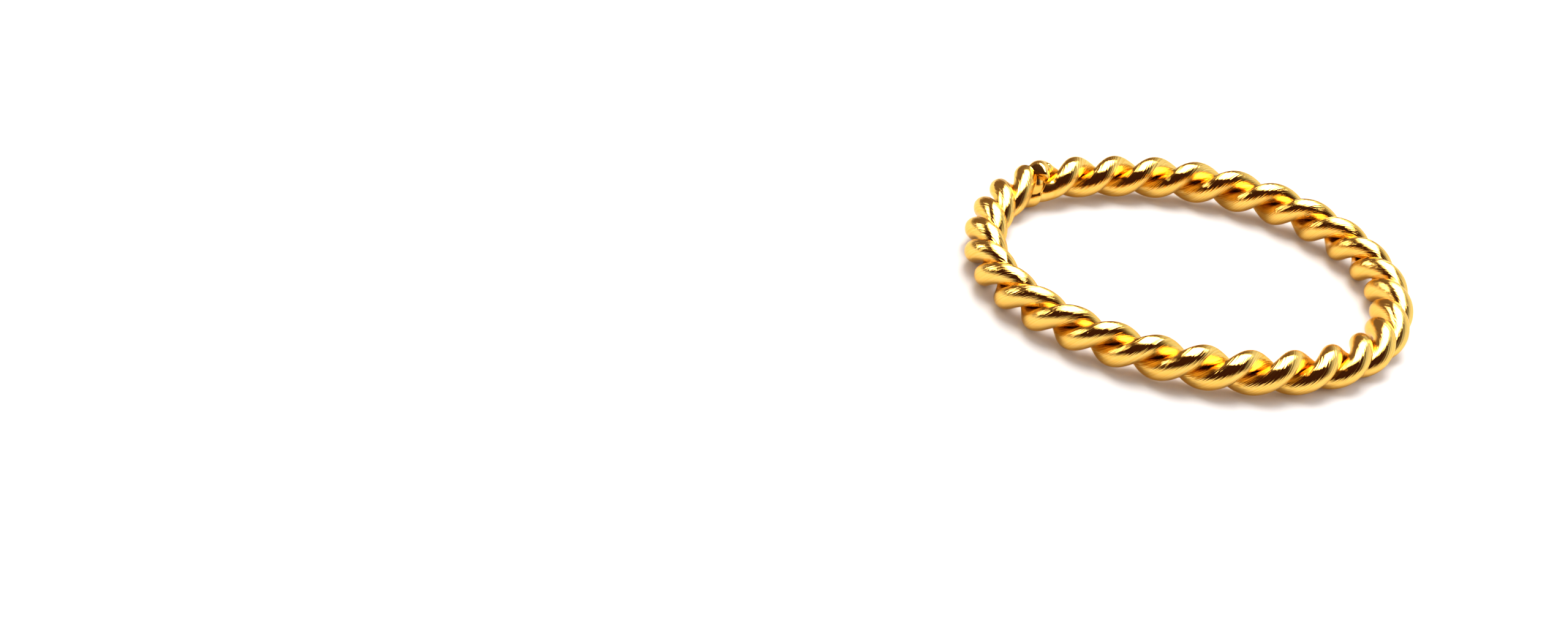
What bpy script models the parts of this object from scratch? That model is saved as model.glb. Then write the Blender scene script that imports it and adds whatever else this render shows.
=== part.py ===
"""A toe ring of two twisted wires, lying on its side.

The ring is made here as it is at the bench. Two round wires are twisted together left-handed into
a straight rope, the rope is sawn square at both ends, it is bent round a mandrel, and its ends are
soldered together. Soldered metal is one piece, so the ring is one closed solid.

Metres, +Z up. The ring lies in the XY plane with its lowest point at Z = 0.
Angles round the ring run from +X towards +Y. The rope starts and finishes at the seam.
"""

import math

import bmesh
import bpy
from mathutils import Matrix, Vector

MM = 0.001

# The ring and its wire
TOE_BORE = 14.9 * MM
WIRE_DIAMETER = 0.90 * MM
WIRE_CLEARANCE = 0.03 * MM

# The twist: whole and part turns of the rope from seam to seam, and its turn at the start
LAY_TURNS = 14.09
LAY_AT_START = math.radians(354.7)
LAY_WANDER = math.radians(6.0)
LAY_WANDER_ANGLE = math.radians(-68.0)

# The rope isn't bent into a true circle. Each figure is how far it strays from one, and where.
OVAL_OUT = 0.160 * MM
OVAL_ANGLE = math.radians(-18.0)
THREE_SIDED_OUT = 0.100 * MM
THREE_SIDED_ANGLE = math.radians(63.5)
WARP_UP = 0.070 * MM
WARP_ANGLE = math.radians(84.5)

# The seam, where the two ends spring outwards and upwards and don't quite meet
SEAM_ANGLE = math.radians(141.3)
SEAM_GAP = 0.50 * MM
SPRING_REACH = 2.9 * MM
START_OUT = 0.48 * MM
START_UP = 0.12 * MM
START_TWIST = math.radians(16.0)
FINISH_OUT = 0.27 * MM
FINISH_UP = 0.22 * MM
FINISH_TWIST = math.radians(-7.0)

# The solder that fills the seam: along the rope, across both wires, and the thin way
SOLDER_LENGTH = 1.10 * MM
SOLDER_WIDTH = 1.50 * MM
SOLDER_THICKNESS = 1.00 * MM

# How finely the round shapes are divided
POINTS_PER_LAY = 15
WIRE_SIDES = 12
SOLDER_SIDES = 16
SOLDER_RINGS = 10
WELD_DISTANCE = 0.001 * MM

GOLD_COLOUR = (0.83, 0.55, 0.17, 1.0)
GOLD_ROUGHNESS = 0.2

WIRE_RADIUS = WIRE_DIAMETER / 2
LAY_RADIUS = WIRE_RADIUS + WIRE_CLEARANCE / 2
ROPE_RADIUS = LAY_RADIUS + WIRE_RADIUS
RING_RADIUS = TOE_BORE / 2 + ROPE_RADIUS
ROPE_LENGTH = 2 * math.pi * RING_RADIUS
LAY_LENGTH = ROPE_LENGTH / LAY_TURNS


def clear_scene():
    for old in list(bpy.data.objects):
        bpy.data.objects.remove(old, do_unlink=True)


def new_collection(name):
    collection = bpy.data.collections.new(name)
    bpy.context.scene.collection.children.link(collection)
    return collection


def gold():
    material = bpy.data.materials.new("polished_gold_plate")
    material.use_nodes = True
    shader = material.node_tree.nodes["Principled BSDF"]
    shader.inputs["Base Color"].default_value = GOLD_COLOUR
    shader.inputs["Metallic"].default_value = 1.0
    shader.inputs["Roughness"].default_value = GOLD_ROUGHNESS
    return material


def nearness(distance):
    """1 at the seam, falling smoothly to 0 well beyond SPRING_REACH."""
    return math.exp(-((distance / SPRING_REACH) ** 2))


def end_effect(along, at_start, at_finish):
    """What the two free ends add at a place along the rope."""
    return at_start * nearness(along) + at_finish * nearness(ROPE_LENGTH - along)


def ring_angle(along):
    return SEAM_ANGLE + along / RING_RADIUS


def lay_angle(along):
    """How far the rope has turned about its own line: 0 puts the first wire on top."""
    steady = LAY_AT_START - along / LAY_LENGTH * 2 * math.pi
    wander = LAY_WANDER * math.cos(ring_angle(along) - LAY_WANDER_ANGLE)
    return steady + wander + end_effect(along, START_TWIST, FINISH_TWIST)


def centre_radius(along):
    angle = ring_angle(along)
    oval = OVAL_OUT * math.cos(2 * (angle - OVAL_ANGLE))
    three_sided = THREE_SIDED_OUT * math.cos(3 * (angle - THREE_SIDED_ANGLE))
    return RING_RADIUS + oval + three_sided + end_effect(along, START_OUT, FINISH_OUT)


def centre_height(along):
    warp = WARP_UP * math.cos(2 * (ring_angle(along) - WARP_ANGLE))
    return warp + end_effect(along, START_UP, FINISH_UP)


def bend_point(point):
    """Takes a point of the straight rope, which lies along X, to its place in the ring."""
    angle = ring_angle(point.x)
    radius = centre_radius(point.x) + point.y
    height = centre_height(point.x) + point.z
    return Vector((radius * math.cos(angle), radius * math.sin(angle), height))


def mesh_from_curve(curve_object, collection):
    """A curve's tube as a mesh, its end caps welded on. The curve itself is removed."""
    evaluated = curve_object.evaluated_get(bpy.context.evaluated_depsgraph_get())
    mesh = bpy.data.meshes.new_from_object(evaluated)
    shape = bmesh.new()
    shape.from_mesh(mesh)
    bmesh.ops.remove_doubles(shape, verts=shape.verts, dist=WELD_DISTANCE)
    bmesh.ops.recalc_face_normals(shape, faces=shape.faces)
    shape.to_mesh(mesh)
    shape.free()
    piece = bpy.data.objects.new(curve_object.name + "_mesh", mesh)
    piece.matrix_world = curve_object.matrix_world.copy()
    collection.objects.link(piece)
    bpy.data.objects.remove(curve_object, do_unlink=True)
    return piece


def straight_wire(name, side, collection):
    """One wire of the straight rope, half a turn round from the other, too long at both ends."""
    spare = 2 * WIRE_DIAMETER
    steps = math.ceil((ROPE_LENGTH + 2 * spare) / LAY_LENGTH * POINTS_PER_LAY)
    curve = bpy.data.curves.new(name, "CURVE")
    curve.dimensions = "3D"
    curve.bevel_depth = WIRE_RADIUS
    curve.bevel_resolution = (WIRE_SIDES - 4) // 2
    curve.use_fill_caps = True
    spline = curve.splines.new("POLY")
    spline.points.add(steps)
    for index, point in enumerate(spline.points):
        along = -spare + index / steps * (ROPE_LENGTH + 2 * spare)
        turned = lay_angle(along) + side * math.pi
        point.co = (along, LAY_RADIUS * math.sin(turned), LAY_RADIUS * math.cos(turned), 1.0)
    curve_object = bpy.data.objects.new(name, curve)
    collection.objects.link(curve_object)
    bpy.context.view_layer.update()
    return mesh_from_curve(curve_object, collection)


def saw_block(name, low, high, cutters):
    """A block over the rope from low to high, for sawing an end off square."""
    width = 4 * ROPE_RADIUS
    bpy.ops.mesh.primitive_cube_add(size=1)
    block = bpy.context.active_object
    block.name = name
    block.data.transform(Matrix.Diagonal((high - low, width, width, 1.0)))
    block.data.transform(Matrix.Translation(((low + high) / 2, 0.0, 0.0)))
    move_to(block, cutters)
    block.hide_render = True
    block.display_type = "WIRE"
    return block


def move_to(piece, collection):
    for holder in list(piece.users_collection):
        holder.objects.unlink(piece)
    collection.objects.link(piece)


def apply_boolean(piece, other, operation):
    """Cuts or joins two meshes for good, and leaves the other one as it was."""
    modifier = piece.modifiers.new(operation.lower(), "BOOLEAN")
    modifier.operation = operation
    modifier.solver = "EXACT"
    modifier.object = other
    bpy.context.view_layer.update()
    evaluated = piece.evaluated_get(bpy.context.evaluated_depsgraph_get())
    result = bpy.data.meshes.new_from_object(evaluated)
    piece.modifiers.remove(modifier)
    piece.data = result


def saw_square(wire, blocks):
    for block in blocks:
        apply_boolean(wire, block, "DIFFERENCE")


def bend_round(piece):
    for vertex in piece.data.vertices:
        vertex.co = bend_point(vertex.co)
    piece.data.update()


def solder_bead(collection):
    """A flattened ball of solder between the sawn ends, its width across the two wires."""
    bpy.ops.mesh.primitive_uv_sphere_add(segments=SOLDER_SIDES, ring_count=SOLDER_RINGS, radius=0.5)
    bead = bpy.context.active_object
    bead.name = "solder_bead"
    move_to(bead, collection)
    lean = Matrix.Rotation(-lay_angle(SEAM_GAP / 2), 4, "X")
    along_rope = Matrix.Rotation(SEAM_ANGLE + math.radians(90.0), 4, "Z")
    start = bend_point(Vector((0.0, 0.0, 0.0)))
    finish = bend_point(Vector((ROPE_LENGTH, 0.0, 0.0)))
    bead.data.transform(Matrix.Diagonal((SOLDER_LENGTH, SOLDER_THICKNESS, SOLDER_WIDTH, 1.0)))
    bead.data.transform(Matrix.Translation((start + finish) / 2) @ along_rope @ lean)
    return bead


def stand_on_floor(piece):
    lowest = min(vertex.co.z for vertex in piece.data.vertices)
    piece.data.transform(Matrix.Translation((0.0, 0.0, -lowest)))


def twisted_ring(collection, cutters):
    far = 8 * WIRE_DIAMETER
    blocks = [
        saw_block("saw_start", -far, SEAM_GAP / 2, cutters),
        saw_block("saw_finish", ROPE_LENGTH - SEAM_GAP / 2, ROPE_LENGTH + far, cutters),
    ]
    wires = [straight_wire("wire_a", 0, collection), straight_wire("wire_b", 1, collection)]
    for wire in wires:
        saw_square(wire, blocks)
        bend_round(wire)
    ring = solder_bead(collection)
    for wire in wires:
        apply_boolean(ring, wire, "UNION")
        bpy.data.objects.remove(wire, do_unlink=True)
    stand_on_floor(ring)
    ring.name = "twisted_ring"
    ring.data.name = "twisted_ring"
    ring.data.materials.clear()
    ring.data.materials.append(gold())
    ring.data.shade_smooth()
    ring.data.set_sharp_from_angle(angle=math.radians(40.0))
    return ring


def main():
    clear_scene()
    toe_ring = new_collection("toe_ring")
    cutters = new_collection("cutters")
    twisted_ring(toe_ring, cutters)


main()
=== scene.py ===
# %% [markdown]
# A toe ring of two twisted gold wires
#
# This lesson models one toe ring and photographs it on a white table. Two round brass wires are
# twisted together left-handed into a rope, the rope is bent round into a ring, its ends are soldered
# and the whole is plated with bright yellow gold. The steps below follow the bench: wire, twist, saw,
# bend, solder, plate.
#
# The imported solid comes first. It fixes the ring's place and size.

# %% Load the imported ring
import math

import bpy
from mathutils import Matrix, Quaternion, Vector


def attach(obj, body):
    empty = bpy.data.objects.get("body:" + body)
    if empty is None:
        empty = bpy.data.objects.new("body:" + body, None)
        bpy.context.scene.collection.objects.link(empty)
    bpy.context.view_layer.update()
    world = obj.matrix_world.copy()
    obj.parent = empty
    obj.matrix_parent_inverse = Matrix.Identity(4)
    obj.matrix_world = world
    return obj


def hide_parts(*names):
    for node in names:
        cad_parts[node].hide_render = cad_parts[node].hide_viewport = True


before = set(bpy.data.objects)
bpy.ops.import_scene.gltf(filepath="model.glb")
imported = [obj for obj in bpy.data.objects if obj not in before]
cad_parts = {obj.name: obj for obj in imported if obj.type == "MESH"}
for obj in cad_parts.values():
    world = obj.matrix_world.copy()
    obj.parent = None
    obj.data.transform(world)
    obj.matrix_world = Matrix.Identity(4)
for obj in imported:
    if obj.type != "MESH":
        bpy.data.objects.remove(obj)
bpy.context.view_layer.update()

MM = 0.001

# %% [markdown]
# The sizes of the ring
#
# The ring's radius and the wire drive everything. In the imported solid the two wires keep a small
# clearance, but here they touch along the middle of the rope, as they do in the real ring, so the
# middle of each wire lies exactly one wire radius from the middle of the rope.
#
# Nobody bends a rope into a true circle. This one is a little oval, a little three-sided and a
# little warped, its lay is uneven, and both ends spring outwards and upwards where they meet.

# %% Name the sizes
WIRE_DIAMETER = 0.905 * MM
LAY_TURNS = 14.09
LAY_AT_START = math.radians(354.7)
LAY_WANDER = math.radians(6.0)
LAY_WANDER_ANGLE = math.radians(-68.0)

# How far the rope strays from a circle, and at which angle round the ring
OVAL_OUT = 0.160 * MM
OVAL_ANGLE = math.radians(-18.0)
THREE_SIDED_OUT = 0.100 * MM
THREE_SIDED_ANGLE = math.radians(63.5)
WARP_UP = 0.070 * MM
WARP_ANGLE = math.radians(84.5)

# Where the rope starts and finishes. A cut lies so far along the rope from the seam and throws away
# what lies on one side of it, given as along, inwards and upwards.
SEAM_ANGLE = math.radians(141.3)
START_CUT = -0.28 * MM
START_CUT_FACES = (-1.0, 0.0, 0.0)
UPPER_FINISH_CUTS = (
    (-0.62 * MM, (1.0, 0.51, -0.90)),
    (-0.22 * MM, (1.0, 0.0, 0.0)),
    (0.33 * MM, (1.0, 0.15, 0.85)),
)
LOWER_FINISH_CUTS = (
    (-0.42 * MM, (1.0, 0.0, 0.10)),
)
WIRES_STOP_SHORT = 0.10 * MM

# How far the two ends spring, and how far along the rope that reaches
SPRING_REACH = 2.9 * MM
START_OUT = 0.48 * MM
START_UP = 0.01 * MM
START_TWIST = math.radians(16.0)
FINISH_OUT = 0.27 * MM
FINISH_UP = 0.22 * MM
FINISH_TWIST = math.radians(-7.0)

WIRE_RADIUS = WIRE_DIAMETER / 2
LAY_RADIUS = WIRE_RADIUS
RING_RADIUS = 8.365 * MM
ROPE_LENGTH = 2 * math.pi * RING_RADIUS
LAY_LENGTH = ROPE_LENGTH / LAY_TURNS
print("one lay is", round(LAY_LENGTH / MM, 2), "mm long")
print("the straight rope is", round(ROPE_LENGTH / MM, 1), "mm long")

# %% [markdown]
# The camera
#
# The picture is taken from in front and above, 29 degrees down, with the camera rolled 8 degrees. The
# lens is a short telephoto about 12 cm away, which makes the far side of the ring a little smaller
# than the near side. The ring fills only the right-hand part of the frame.

# %% Place the camera
LENS = 68.14
CAMERA_DOWN = math.radians(29.24)
CAMERA_ROLL = math.radians(7.98)
CAMERA_PLACE = Vector((-16.47, -109.88, 57.65)) * MM

camera = bpy.data.objects.new("camera", bpy.data.cameras.new("camera"))
bpy.context.scene.collection.objects.link(camera)
camera.data.lens = LENS
camera.data.sensor_width = 36.0
camera.data.clip_start = 5 * MM
camera.data.clip_end = 10.0
tilt = Matrix.Rotation(math.radians(90.0) - CAMERA_DOWN, 4, "X")
roll = Matrix.Rotation(CAMERA_ROLL, 4, "Z")
camera.matrix_world = Matrix.Translation(CAMERA_PLACE) @ tilt @ roll
bpy.context.scene.camera = camera
print("the camera is", round(CAMERA_PLACE.length / MM), "mm from the middle of the ring")

# %% [markdown]
# The table and the light
#
# The ring lies on a plain white table under one large soft box, which hangs a little behind it and is
# turned 13 degrees. Polished gold shows little but what it mirrors, so the dark bands along the wires
# matter as much as the highlights: they are the dim room. It is nearly black on the camera's side, a
# warm grey behind the ring, and there is a white wall behind it to the right and a small lamp to the
# left. The table is lit so brightly that it is pure white in the picture, and a fill light from above
# keeps the shadow pale.

# %% Lay the table
TABLE_SIZE = 3.0
PAPER_WHITE = (0.86, 0.85, 0.84, 1.0)
PAPER_ROUGHNESS = 0.9

bpy.ops.object.select_all(action="DESELECT")
bpy.ops.mesh.primitive_plane_add(size=TABLE_SIZE)
table = bpy.context.active_object
table.name = "table"
paper = bpy.data.materials.new("white_paper")
paper.use_nodes = True
paper.node_tree.nodes["Principled BSDF"].inputs["Base Color"].default_value = PAPER_WHITE
paper.node_tree.nodes["Principled BSDF"].inputs["Roughness"].default_value = PAPER_ROUGHNESS
table.data.materials.append(paper)

# %% Hang the lights
def soft_light(name, place, width, depth, radiance, turn=0.0):
    """A rectangle of light that faces the ring, turned about the line to it.

    Radiance is how bright its face looks: 1 is white.
    """
    light = bpy.data.objects.new(name, bpy.data.lights.new(name, "AREA"))
    bpy.context.scene.collection.objects.link(light)
    light.data.shape = "RECTANGLE"
    light.data.size = width
    light.data.size_y = depth
    light.data.energy = radiance * math.pi * width * depth
    light.location = place
    light.rotation_mode = "QUATERNION"
    light.rotation_quaternion = place.to_track_quat("Z", "Y") @ Quaternion((0.0, 0.0, 1.0), turn)
    print(name, "gives", round(light.data.energy, 2), "watts")
    return light


BOX_PLACE = Vector((0.008, 0.115, 0.418))
BOX_WIDTH = 0.24
BOX_DEPTH = 0.42
BOX_TURN = math.radians(-13.0)
BOX_LIGHT = 4.4
BOX_GLARE = 11.5
GLARE_CLOSER = 0.99
LAMP_PLACE = Vector((-0.38, 0.10, 0.19))
LAMP_WIDTH = 0.065
LAMP_HEIGHT = 0.15
LAMP_LIGHT = 15.0
FILL_PLACE = Vector((0.0, -0.10, 0.55))
FILL_SIZE = 2.2
FILL_LIGHT = 0.66

softbox = soft_light("softbox", BOX_PLACE, BOX_WIDTH, BOX_DEPTH, BOX_LIGHT, BOX_TURN)

# The plate mirrors the soft box brighter than the paper takes it, as a camera with a steep curve
# would show it. So a second light in the same place shows only in reflections, as the lamp does.
glare_place = BOX_PLACE * GLARE_CLOSER
softbox_glare = soft_light("softbox_glare", glare_place, BOX_WIDTH, BOX_DEPTH, BOX_GLARE, BOX_TURN)
softbox_glare.visible_diffuse = False
lamp = soft_light("small_lamp", LAMP_PLACE, LAMP_WIDTH, LAMP_HEIGHT, LAMP_LIGHT)
lamp.visible_diffuse = False

# White card all round the table brightens the shadows. The plate would mirror it, so the fill light
# that stands in for the card is kept out of reflections.
fill = soft_light("fill", FILL_PLACE, FILL_SIZE, FILL_SIZE, FILL_LIGHT)
fill.visible_glossy = False

# %% Dim the room
ROOM_FRONT = (0.064, 0.028, 0.026, 1.0)
ROOM_BACK = (0.25, 0.185, 0.18, 1.0)
WHITE_WALL = (0.95, 1.06, 1.30, 1.0)
WALL_DIRECTION = Vector((0.866, 0.50, 0.0))
FRONT_TO_BACK = (-0.15, 0.45)
WALL_EDGE = (0.50, 0.86)

room = bpy.data.worlds.new("dim_room")
bpy.context.scene.world = room
room.use_nodes = True
nodes = room.node_tree.nodes
links = room.node_tree.links


def fade(value, low, high):
    """0 where the value is low and 1 where it is high, smooth between."""
    node = nodes.new("ShaderNodeMapRange")
    node.interpolation_type = "SMOOTHSTEP"
    node.inputs["From Min"].default_value = low
    node.inputs["From Max"].default_value = high
    links.new(value, node.inputs["Value"])
    return node.outputs["Result"]


def blend_colours(amount, first, second):
    """The first colour where the amount is 0 and the second where it is 1."""
    node = nodes.new("ShaderNodeMix")
    node.data_type = "RGBA"
    links.new(amount, node.inputs["Factor"])
    for socket, colour in zip((node.inputs[6], node.inputs[7]), (first, second)):
        if isinstance(colour, tuple):
            socket.default_value = colour
        else:
            links.new(colour, socket)
    return node.outputs[2]


direction = nodes.new("ShaderNodeTexCoord")
split = nodes.new("ShaderNodeSeparateXYZ")
links.new(direction.outputs["Generated"], split.inputs["Vector"])
towards_wall = nodes.new("ShaderNodeVectorMath")
towards_wall.operation = "DOT_PRODUCT"
towards_wall.inputs[1].default_value = WALL_DIRECTION
links.new(direction.outputs["Generated"], towards_wall.inputs[0])
backdrop = blend_colours(fade(split.outputs["Y"], *FRONT_TO_BACK), ROOM_FRONT, ROOM_BACK)
walls = blend_colours(fade(towards_wall.outputs["Value"], *WALL_EDGE), backdrop, WHITE_WALL)
links.new(walls, nodes["Background"].inputs["Color"])

# A contrasty print, as the picture has: the mid tones of the gold stay rich beside its highlights.
bpy.context.scene.view_settings.view_transform = "Standard"
bpy.context.scene.view_settings.look = "Medium High Contrast"

# %% [markdown]
# Working on one piece at a time
#
# An operator acts on everything that is selected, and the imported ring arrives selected. So each step
# first picks the one piece that it works on. A finished piece has its origin in the middle of the
# ring, so whatever places it is applied to its mesh.

# %% Helpers for one piece
def pick(piece):
    bpy.ops.object.select_all(action="DESELECT")
    piece.select_set(True)
    bpy.context.view_layer.objects.active = piece


def apply_place(piece):
    pick(piece)
    bpy.ops.object.transform_apply(location=True, rotation=True, scale=True)


def apply_modifier(piece, modifier):
    pick(piece)
    bpy.ops.object.modifier_apply(modifier=modifier.name)


def move_points(piece, rule):
    """Takes each point of a piece where the rule says."""
    for vertex in piece.data.vertices:
        vertex.co = rule(vertex.co)
    piece.data.update()


def points_outwards(piece):
    pick(piece)
    bpy.ops.object.mode_set(mode="EDIT")
    bpy.ops.mesh.select_all(action="SELECT")
    bpy.ops.mesh.normals_make_consistent(inside=False)
    bpy.ops.object.mode_set(mode="OBJECT")


# %% [markdown]
# The lay of the straight rope
#
# The middle line of one wire is a coil along X. It could be drawn point by point, but a Screw
# modifier winds it from a single point, which is what twisting does. A negative angle makes the coil
# left-handed. The real lay isn't quite even, and it opens where the ends spring, so the finished
# coil is turned a little more or less from place to place.

# %% Wind the middle line of a wire
SPARE = 2 * WIRE_DIAMETER
POINTS_PER_LAY = 54


def nearness(distance):
    """1 at the seam, falling smoothly to 0 well beyond the reach of the spring."""
    return math.exp(-((distance / SPRING_REACH) ** 2))


def end_effect(along, at_start, at_finish):
    return at_start * nearness(along) + at_finish * nearness(ROPE_LENGTH - along)


def even_lay(along, side):
    """How far an even rope has turned about its own line: 0 puts the wire on top."""
    return LAY_AT_START - along / LAY_LENGTH * 2 * math.pi + side * math.pi


def uneven_lay(along):
    """How far the lay is ahead of an even one at a place along the rope."""
    wander = LAY_WANDER * math.cos(SEAM_ANGLE + along / RING_RADIUS - LAY_WANDER_ANGLE)
    return wander + end_effect(along, START_TWIST, FINISH_TWIST)


def wind_middle_line(name):
    """Winds a point into a left-handed coil that runs a little past both ends of the rope."""
    bpy.ops.object.select_all(action="DESELECT")
    bpy.ops.mesh.primitive_plane_add(size=WIRE_DIAMETER, location=(-SPARE, 0.0, LAY_RADIUS))
    line = bpy.context.active_object
    line.name = name
    apply_place(line)
    bpy.ops.object.mode_set(mode="EDIT")
    bpy.ops.mesh.select_all(action="SELECT")
    bpy.ops.mesh.merge(type="CENTER")
    bpy.ops.object.mode_set(mode="OBJECT")
    turns = (ROPE_LENGTH + 2 * SPARE) / LAY_LENGTH
    lay = line.modifiers.new("lay", "SCREW")
    lay.axis = "X"
    lay.angle = -turns * 2 * math.pi
    lay.screw_offset = ROPE_LENGTH + 2 * SPARE
    lay.steps = lay.render_steps = round(turns * POINTS_PER_LAY)
    apply_modifier(line, lay)
    return line


def turn_to_lay(line, side):
    """Turns the coil to where the rope starts, and unevenly from place to place."""
    at_end = even_lay(-SPARE, side)
    move_points(line, lambda point: Matrix.Rotation(at_end + uneven_lay(point.x), 3, "X") @ point)


# %% [markdown]
# The wire itself
#
# The middle line becomes a curve with a round bevel, which keeps the wire round however steeply it
# winds. A circle drawn square to the rope and wound by the Screw would come out flattened. The curve
# also gives the wire a UV map, across it and along it, which the drawing lines of the finish follow
# later. Made a mesh, the wire is sawn at both ends by Bisect, which closes each cut with a flat face.
# The start is sawn square across the rope. At the finish the snips left the upper wire leaning, and
# its tip is filed down.
#
# Each wire is made twice. The first pair is the rope, and stops just short of the seam. The second
# pair runs right up to it, and its ends are melted into the solder later, so that no sawn edge shows.

# %% Make a straight wire and saw it off
WIRE_SIDES = 40
SAW_PRECISION = 1e-8


def draw_wire(line, side):
    """Makes the middle line a round wire that turns about itself as the rope does."""
    pick(line)
    bpy.ops.object.convert(target="CURVE")
    wire = bpy.context.active_object
    wire.data.bevel_depth = WIRE_RADIUS
    wire.data.bevel_resolution = (WIRE_SIDES - 4) // 2
    wire.data.twist_mode = "Z_UP"
    for point in wire.data.splines[0].points:
        point.tilt = -even_lay(point.co.x, side) - uneven_lay(point.co.x)
    bpy.ops.object.convert(target="MESH")
    return bpy.context.active_object


def saw(piece, place, direction):
    """Saws a piece across and throws away what lies beyond the cut in this direction."""
    pick(piece)
    bpy.ops.object.mode_set(mode="EDIT")
    bpy.ops.mesh.select_all(action="SELECT")
    bpy.ops.mesh.bisect(
        plane_co=(place, 0.0, 0.0),
        plane_no=direction,
        use_fill=True,
        clear_outer=True,
        threshold=SAW_PRECISION,
    )
    bpy.ops.object.mode_set(mode="OBJECT")


def straight_wire(name, side, finish_cuts, short):
    """One wire of the straight rope, sawn off short of its cuts at both ends."""
    line = wind_middle_line(name)
    turn_to_lay(line, side)
    wire = draw_wire(line, side)
    saw(wire, START_CUT + short, START_CUT_FACES)
    for place, faces in finish_cuts:
        saw(wire, ROPE_LENGTH + place - short, faces)
    print(name, "has", len(wire.data.polygons), "faces")
    return wire


wires = [
    straight_wire("wire_a", 0, UPPER_FINISH_CUTS, WIRES_STOP_SHORT),
    straight_wire("wire_b", 1, LOWER_FINISH_CUTS, WIRES_STOP_SHORT),
]
melted_wires = [
    straight_wire("melted_a", 0, UPPER_FINISH_CUTS, 0.0),
    straight_wire("melted_b", 1, LOWER_FINISH_CUTS, 0.0),
]

# %% [markdown]
# Bending the rope round
#
# A Simple Deform modifier bends the straight rope evenly into a circle, as a mandrel does. It spreads
# its angle over the length of the mesh, so the angle is the sawn length divided by the radius. The
# oval, the three sides, the warp and the springing ends are too slight and too smooth for a tool, so
# a rule moves each point outwards and upwards by what the real ring is out of true there.

# %% Bend the wires and put them out of true
SMOOTH_UP_TO = math.radians(50.0)


def spring(point):
    """Moves a point of the straight rope, near its ends, outwards and upwards."""
    outwards = end_effect(point.x, START_OUT, FINISH_OUT)
    return point + Vector((0.0, -outwards, end_effect(point.x, START_UP, FINISH_UP)))


def bend_round(piece):
    """Bends a straight piece into the ring and takes its start to the seam."""
    along = [vertex.co.x for vertex in piece.data.vertices]
    bend = piece.modifiers.new("bend", "SIMPLE_DEFORM")
    bend.deform_method = "BEND"
    bend.deform_axis = "Z"
    bend.angle = (max(along) - min(along)) / RING_RADIUS
    apply_modifier(piece, bend)
    turn = SEAM_ANGLE + math.radians(90.0)
    piece.rotation_euler = (0.0, 0.0, turn)
    piece.location = (RING_RADIUS * math.sin(turn), -RING_RADIUS * math.cos(turn), 0.0)
    apply_place(piece)


def out_of_true(point):
    """Moves a point of the round ring as far outwards and upwards as the real ring strays there."""
    angle = math.atan2(point.y, point.x)
    outwards = OVAL_OUT * math.cos(2 * (angle - OVAL_ANGLE))
    outwards += THREE_SIDED_OUT * math.cos(3 * (angle - THREE_SIDED_ANGLE))
    upwards = WARP_UP * math.cos(2 * (angle - WARP_ANGLE))
    return point + Vector((math.cos(angle) * outwards, math.sin(angle) * outwards, upwards))


for wire in wires + melted_wires:
    move_points(wire, spring)
    bend_round(wire)
    move_points(wire, out_of_true)
    points_outwards(wire)
lift = -min(vertex.co.z for wire in wires for vertex in wire.data.vertices)
for wire in wires + melted_wires:
    wire.data.transform(Matrix.Translation((0.0, 0.0, lift)))
    pick(wire)
    bpy.ops.object.shade_smooth_by_angle(angle=SMOOTH_UP_TO)
print("the middle of the rope is", round(lift / MM, 3), "mm above the table")

# %% [markdown]
# The solder
#
# Solder runs between the sawn ends and leaves a thin skin on the wires beside them. It is made much
# the same way here. The second pair of wires is sawn down to the seam, drops of solder are added
# between them, and a voxel Remesh melts it all into one lump, which is smoothed. The voxels would be
# too fine for Remesh at this size, so the lump is melted a thousand times larger. At the last the
# skin is drawn in under the wires towards its edges, so that it ends without a step.

# %% Melt the solder
SOLDER_BEFORE = -1.15 * MM
SOLDER_AFTER = 0.55 * MM
SOLDER_PROUD = 0.045 * MM
SOLDER_SINKS = 0.030 * MM
SOLDER_GRAIN = 0.022 * MM
SOLDER_SMOOTHING = 50
MELTING_SCALE = 1000.0

# Each drop is how far along, outwards and upwards it lies, and its radius.
SOLDER_DROPS = (
    (-0.32 * MM, 0.38 * MM, 0.17 * MM, 0.56 * MM),
    (-0.34 * MM, 0.36 * MM, -0.36 * MM, 0.44 * MM),
    (-0.26 * MM, 0.74 * MM, 0.42 * MM, 0.36 * MM),
    (-0.24 * MM, 0.70 * MM, 0.50 * MM, 0.29 * MM),
    (-0.95 * MM, 0.20 * MM, 0.80 * MM, 0.25 * MM),
)


def by_the_seam(along, outwards, upwards):
    """A place beside the rope's middle line, along the rope from the seam."""
    angle = SEAM_ANGLE + along / RING_RADIUS
    radius = RING_RADIUS + outwards
    point = out_of_true(Vector((math.cos(angle) * radius, math.sin(angle) * radius, upwards)))
    return point + Vector((0.0, 0.0, lift))


def along_from_seam(point):
    """How far along the rope from the seam a point of the ring lies."""
    angle = math.atan2(point.y, point.x) - SEAM_ANGLE
    return math.remainder(angle, 2 * math.pi) * RING_RADIUS


def saw_across(piece, along, keeps_after):
    """Saws a piece on a plane through the ring's axis and keeps what lies after it, or before it."""
    angle = SEAM_ANGLE + along / RING_RADIUS
    sign = -1.0 if keeps_after else 1.0
    pick(piece)
    bpy.ops.object.mode_set(mode="EDIT")
    bpy.ops.mesh.select_all(action="SELECT")
    bpy.ops.mesh.bisect(
        plane_co=(0.0, 0.0, 0.0),
        plane_no=(-math.sin(angle) * sign, math.cos(angle) * sign, 0.0),
        use_fill=True,
        clear_outer=True,
        threshold=SAW_PRECISION,
    )
    bpy.ops.object.mode_set(mode="OBJECT")


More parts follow.
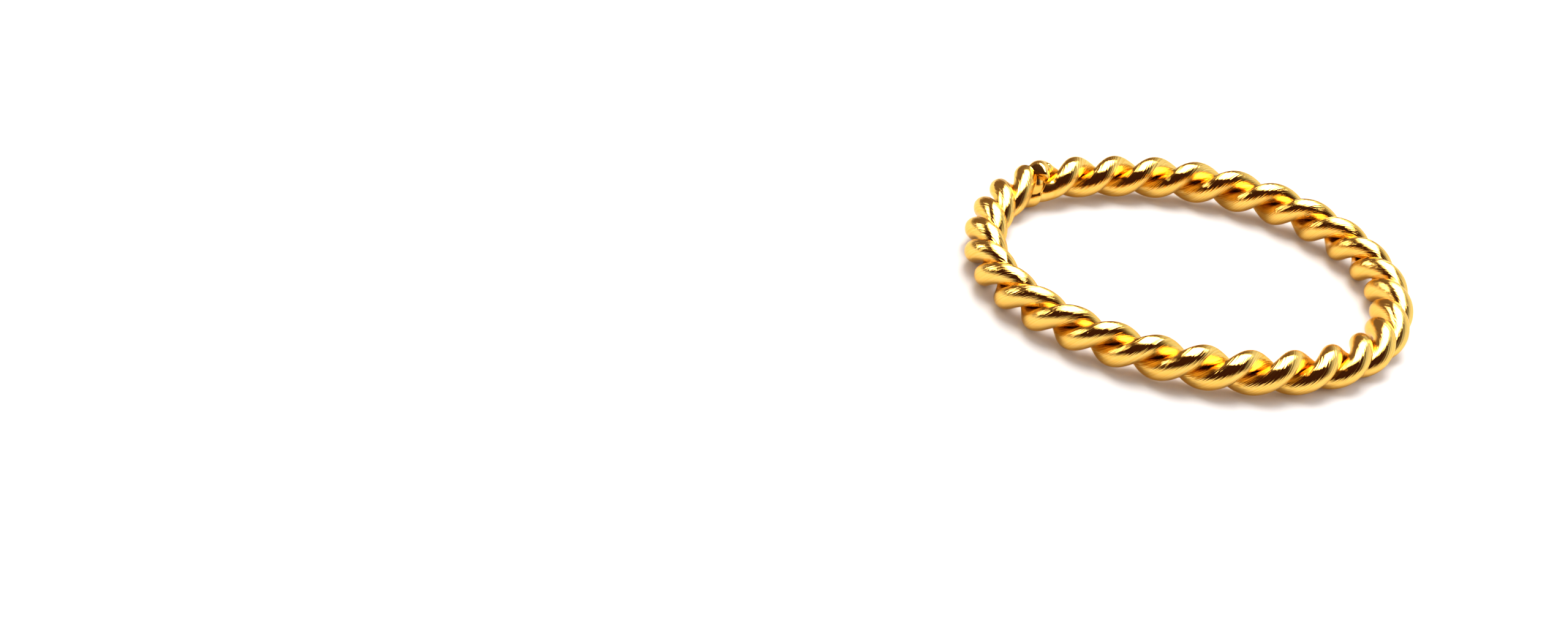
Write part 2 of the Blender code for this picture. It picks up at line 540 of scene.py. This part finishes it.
def melted_ends():
    """The second pair of wires in one piece, sawn down to the seam."""
    bpy.ops.object.select_all(action="DESELECT")
    for wire in melted_wires:
        wire.select_set(True)
    bpy.context.view_layer.objects.active = melted_wires[0]
    bpy.ops.object.join()
    ends = bpy.context.active_object
    ends.name = "solder"
    saw_across(ends, SOLDER_BEFORE, True)
    saw_across(ends, SOLDER_AFTER, False)
    return ends


def add_drop(piece, along, outwards, upwards, radius):
    """Adds a ball of solder to a piece."""
    place = by_the_seam(along, outwards, upwards)
    bpy.ops.mesh.primitive_uv_sphere_add(segments=32, ring_count=16, radius=radius, location=place)
    drop = bpy.context.active_object
    apply_place(drop)
    drop.select_set(True)
    piece.select_set(True)
    bpy.context.view_layer.objects.active = piece
    bpy.ops.object.join()


def melt(piece):
    """Melts overlapping shapes into one smooth lump."""
    piece.data.transform(Matrix.Scale(MELTING_SCALE, 4))
    heat = piece.modifiers.new("heat", "REMESH")
    heat.mode = "VOXEL"
    heat.voxel_size = SOLDER_GRAIN * MELTING_SCALE
    apply_modifier(piece, heat)
    flow = piece.modifiers.new("flow", "SMOOTH")
    flow.iterations = SOLDER_SMOOTHING
    apply_modifier(piece, flow)
    piece.data.transform(Matrix.Scale(1 / MELTING_SCALE, 4))


def draw_in_skin(piece):
    """Lifts the skin at the seam and sinks it under the wires towards its edges."""
    middle = (SOLDER_BEFORE + SOLDER_AFTER) / 2
    reach = (SOLDER_AFTER - SOLDER_BEFORE) / 2
    for vertex, normal in [(vertex, vertex.normal.copy()) for vertex in piece.data.vertices]:
        nearness_to_edge = abs(along_from_seam(vertex.co) - middle) / reach
        vertex.co += normal * (SOLDER_PROUD - (SOLDER_PROUD + SOLDER_SINKS) * nearness_to_edge ** 2)
    piece.data.update()


solder = melted_ends()
for drop in SOLDER_DROPS:
    add_drop(solder, *drop)
melt(solder)
draw_in_skin(solder)
points_outwards(solder)
bpy.ops.object.shade_smooth()
print("the solder has", len(solder.data.polygons), "faces")

# %% [markdown]
# The gold plate
#
# Bright gold plate is a metal with a strong yellow of its own: where it mirrors itself in the grooves
# between the wires, each bounce makes the colour deeper, and no painted shading is needed. What makes
# it look like drawn wire and not like liquid is its relief. Fine lines run lengthwise from the draw
# plate, and the plating has slow waves and a few specks. The lines follow the wire's own UV map,
# wrapped round so that they have no join.

# %% Mix the gold
GOLD_PALE = (0.86, 0.57, 0.165, 1.0)
GOLD_DEEP = (0.82, 0.49, 0.105, 1.0)
GOLD_EDGE = (0.96, 0.82, 0.58, 1.0)
WIRE_ROUGHNESS = 0.075
SOLDER_ROUGHNESS = 0.17
WIRE_LENGTH = 66.0 * MM

# The marks of the finish. Drawn is how much longer than wide the lines are.
DRAWN = 9.0
LINE_WIDTH = 0.05 * MM
LINE_HEIGHT = 0.0028 * MM
LINE_DULLNESS = 0.10
WAVE_WIDTH = 0.45 * MM
WAVE_HEIGHT = 0.016 * MM
RIPPLE_WIDTH = 0.13 * MM
RIPPLE_HEIGHT = 0.0018 * MM
SPECK_WIDTH = 0.05 * MM
SPECK_HEIGHT = 0.0013 * MM

# The gold is deepest in the troughs of the waves and palest on their crests.
DEEP_BELOW = 0.35
PALE_ABOVE = 0.65


def add_node(material, kind, **settings):
    node = material.node_tree.nodes.new(kind)
    for name, value in settings.items():
        setattr(node, name, value)
    return node


def join(material, source, target):
    material.node_tree.links.new(source, target)


def arithmetic(material, operation, first, second):
    """A Math node on a link or number and a second one."""
    node = add_node(material, "ShaderNodeMath", operation=operation)
    for socket, value in zip(node.inputs, (first, second)):
        if isinstance(value, (int, float)):
            socket.default_value = value
        else:
            join(material, value, socket)
    return node.outputs[0]


def round_the_wire(material):
    """Places on the surface of a straight wire: X is along it, Y and Z are across it."""
    flat = add_node(material, "ShaderNodeSeparateXYZ")
    join(material, add_node(material, "ShaderNodeTexCoord").outputs["UV"], flat.inputs[0])
    turned = arithmetic(material, "MULTIPLY", flat.outputs["X"], 2 * math.pi)
    place = add_node(material, "ShaderNodeCombineXYZ")
    join(material, arithmetic(material, "MULTIPLY", flat.outputs["Y"], WIRE_LENGTH), place.inputs["X"])
    sideways = arithmetic(material, "COSINE", turned, 0.0)
    upwards = arithmetic(material, "SINE", turned, 0.0)
    join(material, arithmetic(material, "MULTIPLY", sideways, WIRE_RADIUS), place.inputs["Y"])
    join(material, arithmetic(material, "MULTIPLY", upwards, WIRE_RADIUS), place.inputs["Z"])
    return place.outputs["Vector"]


def noise(material, place, stretch, size, detail):
    """Noise whose spots are as large as size, and longer along X by the stretch."""
    scale = add_node(material, "ShaderNodeVectorMath", operation="MULTIPLY")
    scale.inputs[1].default_value = (1 / (size * stretch), 1 / size, 1 / size)
    join(material, place, scale.inputs[0])
    spots = add_node(material, "ShaderNodeTexNoise")
    spots.inputs["Scale"].default_value = 1.0
    spots.inputs["Detail"].default_value = detail
    join(material, scale.outputs[0], spots.inputs["Vector"])
    return spots.outputs["Fac"]


def in_the_ring(material):
    """Places in the ring as it lies, for what has no direction of its own."""
    return add_node(material, "ShaderNodeTexCoord").outputs["Object"]


def gold_plate(name, place_of, drawn, roughness):
    """Drawn is how much longer the marks of the finish are than wide."""
    material = bpy.data.materials.new(name)
    material.use_nodes = True
    shader = material.node_tree.nodes["Principled BSDF"]
    shader.inputs["Metallic"].default_value = 1.0
    shader.inputs["Specular Tint"].default_value = GOLD_EDGE
    place = place_of(material)
    lines = noise(material, place, drawn, LINE_WIDTH, 3.0)
    waves = noise(material, place, 1.0 + drawn / 6, WAVE_WIDTH, 1.0)
    ripples = noise(material, place, 1.0 + drawn / 9, RIPPLE_WIDTH, 1.0)
    specks = noise(material, place, 1.0, SPECK_WIDTH, 3.0)
    tint = add_node(material, "ShaderNodeValToRGB")
    tint.color_ramp.elements[0].position = DEEP_BELOW
    tint.color_ramp.elements[0].color = GOLD_DEEP
    tint.color_ramp.elements[1].position = PALE_ABOVE
    tint.color_ramp.elements[1].color = GOLD_PALE
    join(material, waves, tint.inputs["Fac"])
    join(material, tint.outputs["Color"], shader.inputs["Base Color"])
    dull = arithmetic(material, "MULTIPLY_ADD", lines, LINE_DULLNESS)
    dull.node.inputs[2].default_value = roughness - LINE_DULLNESS / 2
    join(material, dull, shader.inputs["Roughness"])
    relief = arithmetic(material, "MULTIPLY", lines, LINE_HEIGHT)
    for marks, height in ((waves, WAVE_HEIGHT), (ripples, RIPPLE_HEIGHT), (specks, SPECK_HEIGHT)):
        relief = arithmetic(material, "ADD", relief, arithmetic(material, "MULTIPLY", marks, height))
    bump = add_node(material, "ShaderNodeBump")
    bump.inputs["Strength"].default_value = 1.0
    bump.inputs["Distance"].default_value = 1.0
    join(material, relief, bump.inputs["Height"])
    join(material, bump.outputs["Normal"], shader.inputs["Normal"])
    return material


gold_wire = gold_plate("gold_plated_wire", round_the_wire, DRAWN, WIRE_ROUGHNESS)
gold_solder = gold_plate("gold_plated_solder", in_the_ring, 1.0, SOLDER_ROUGHNESS)
for piece, gold in ((wires[0], gold_wire), (wires[1], gold_wire), (solder, gold_solder)):
    piece.data.materials.clear()
    piece.data.materials.append(gold)
print("the gold has", len(gold_wire.node_tree.nodes), "nodes")

# %% [markdown]
# Handing the pieces over
#
# Each piece rides on the ring's one body and takes the place of the imported solid.

# %% Put each piece on the body in place of the imported solid
for piece in wires + [solder]:
    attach(piece, "root")
    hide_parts("twisted_ring")
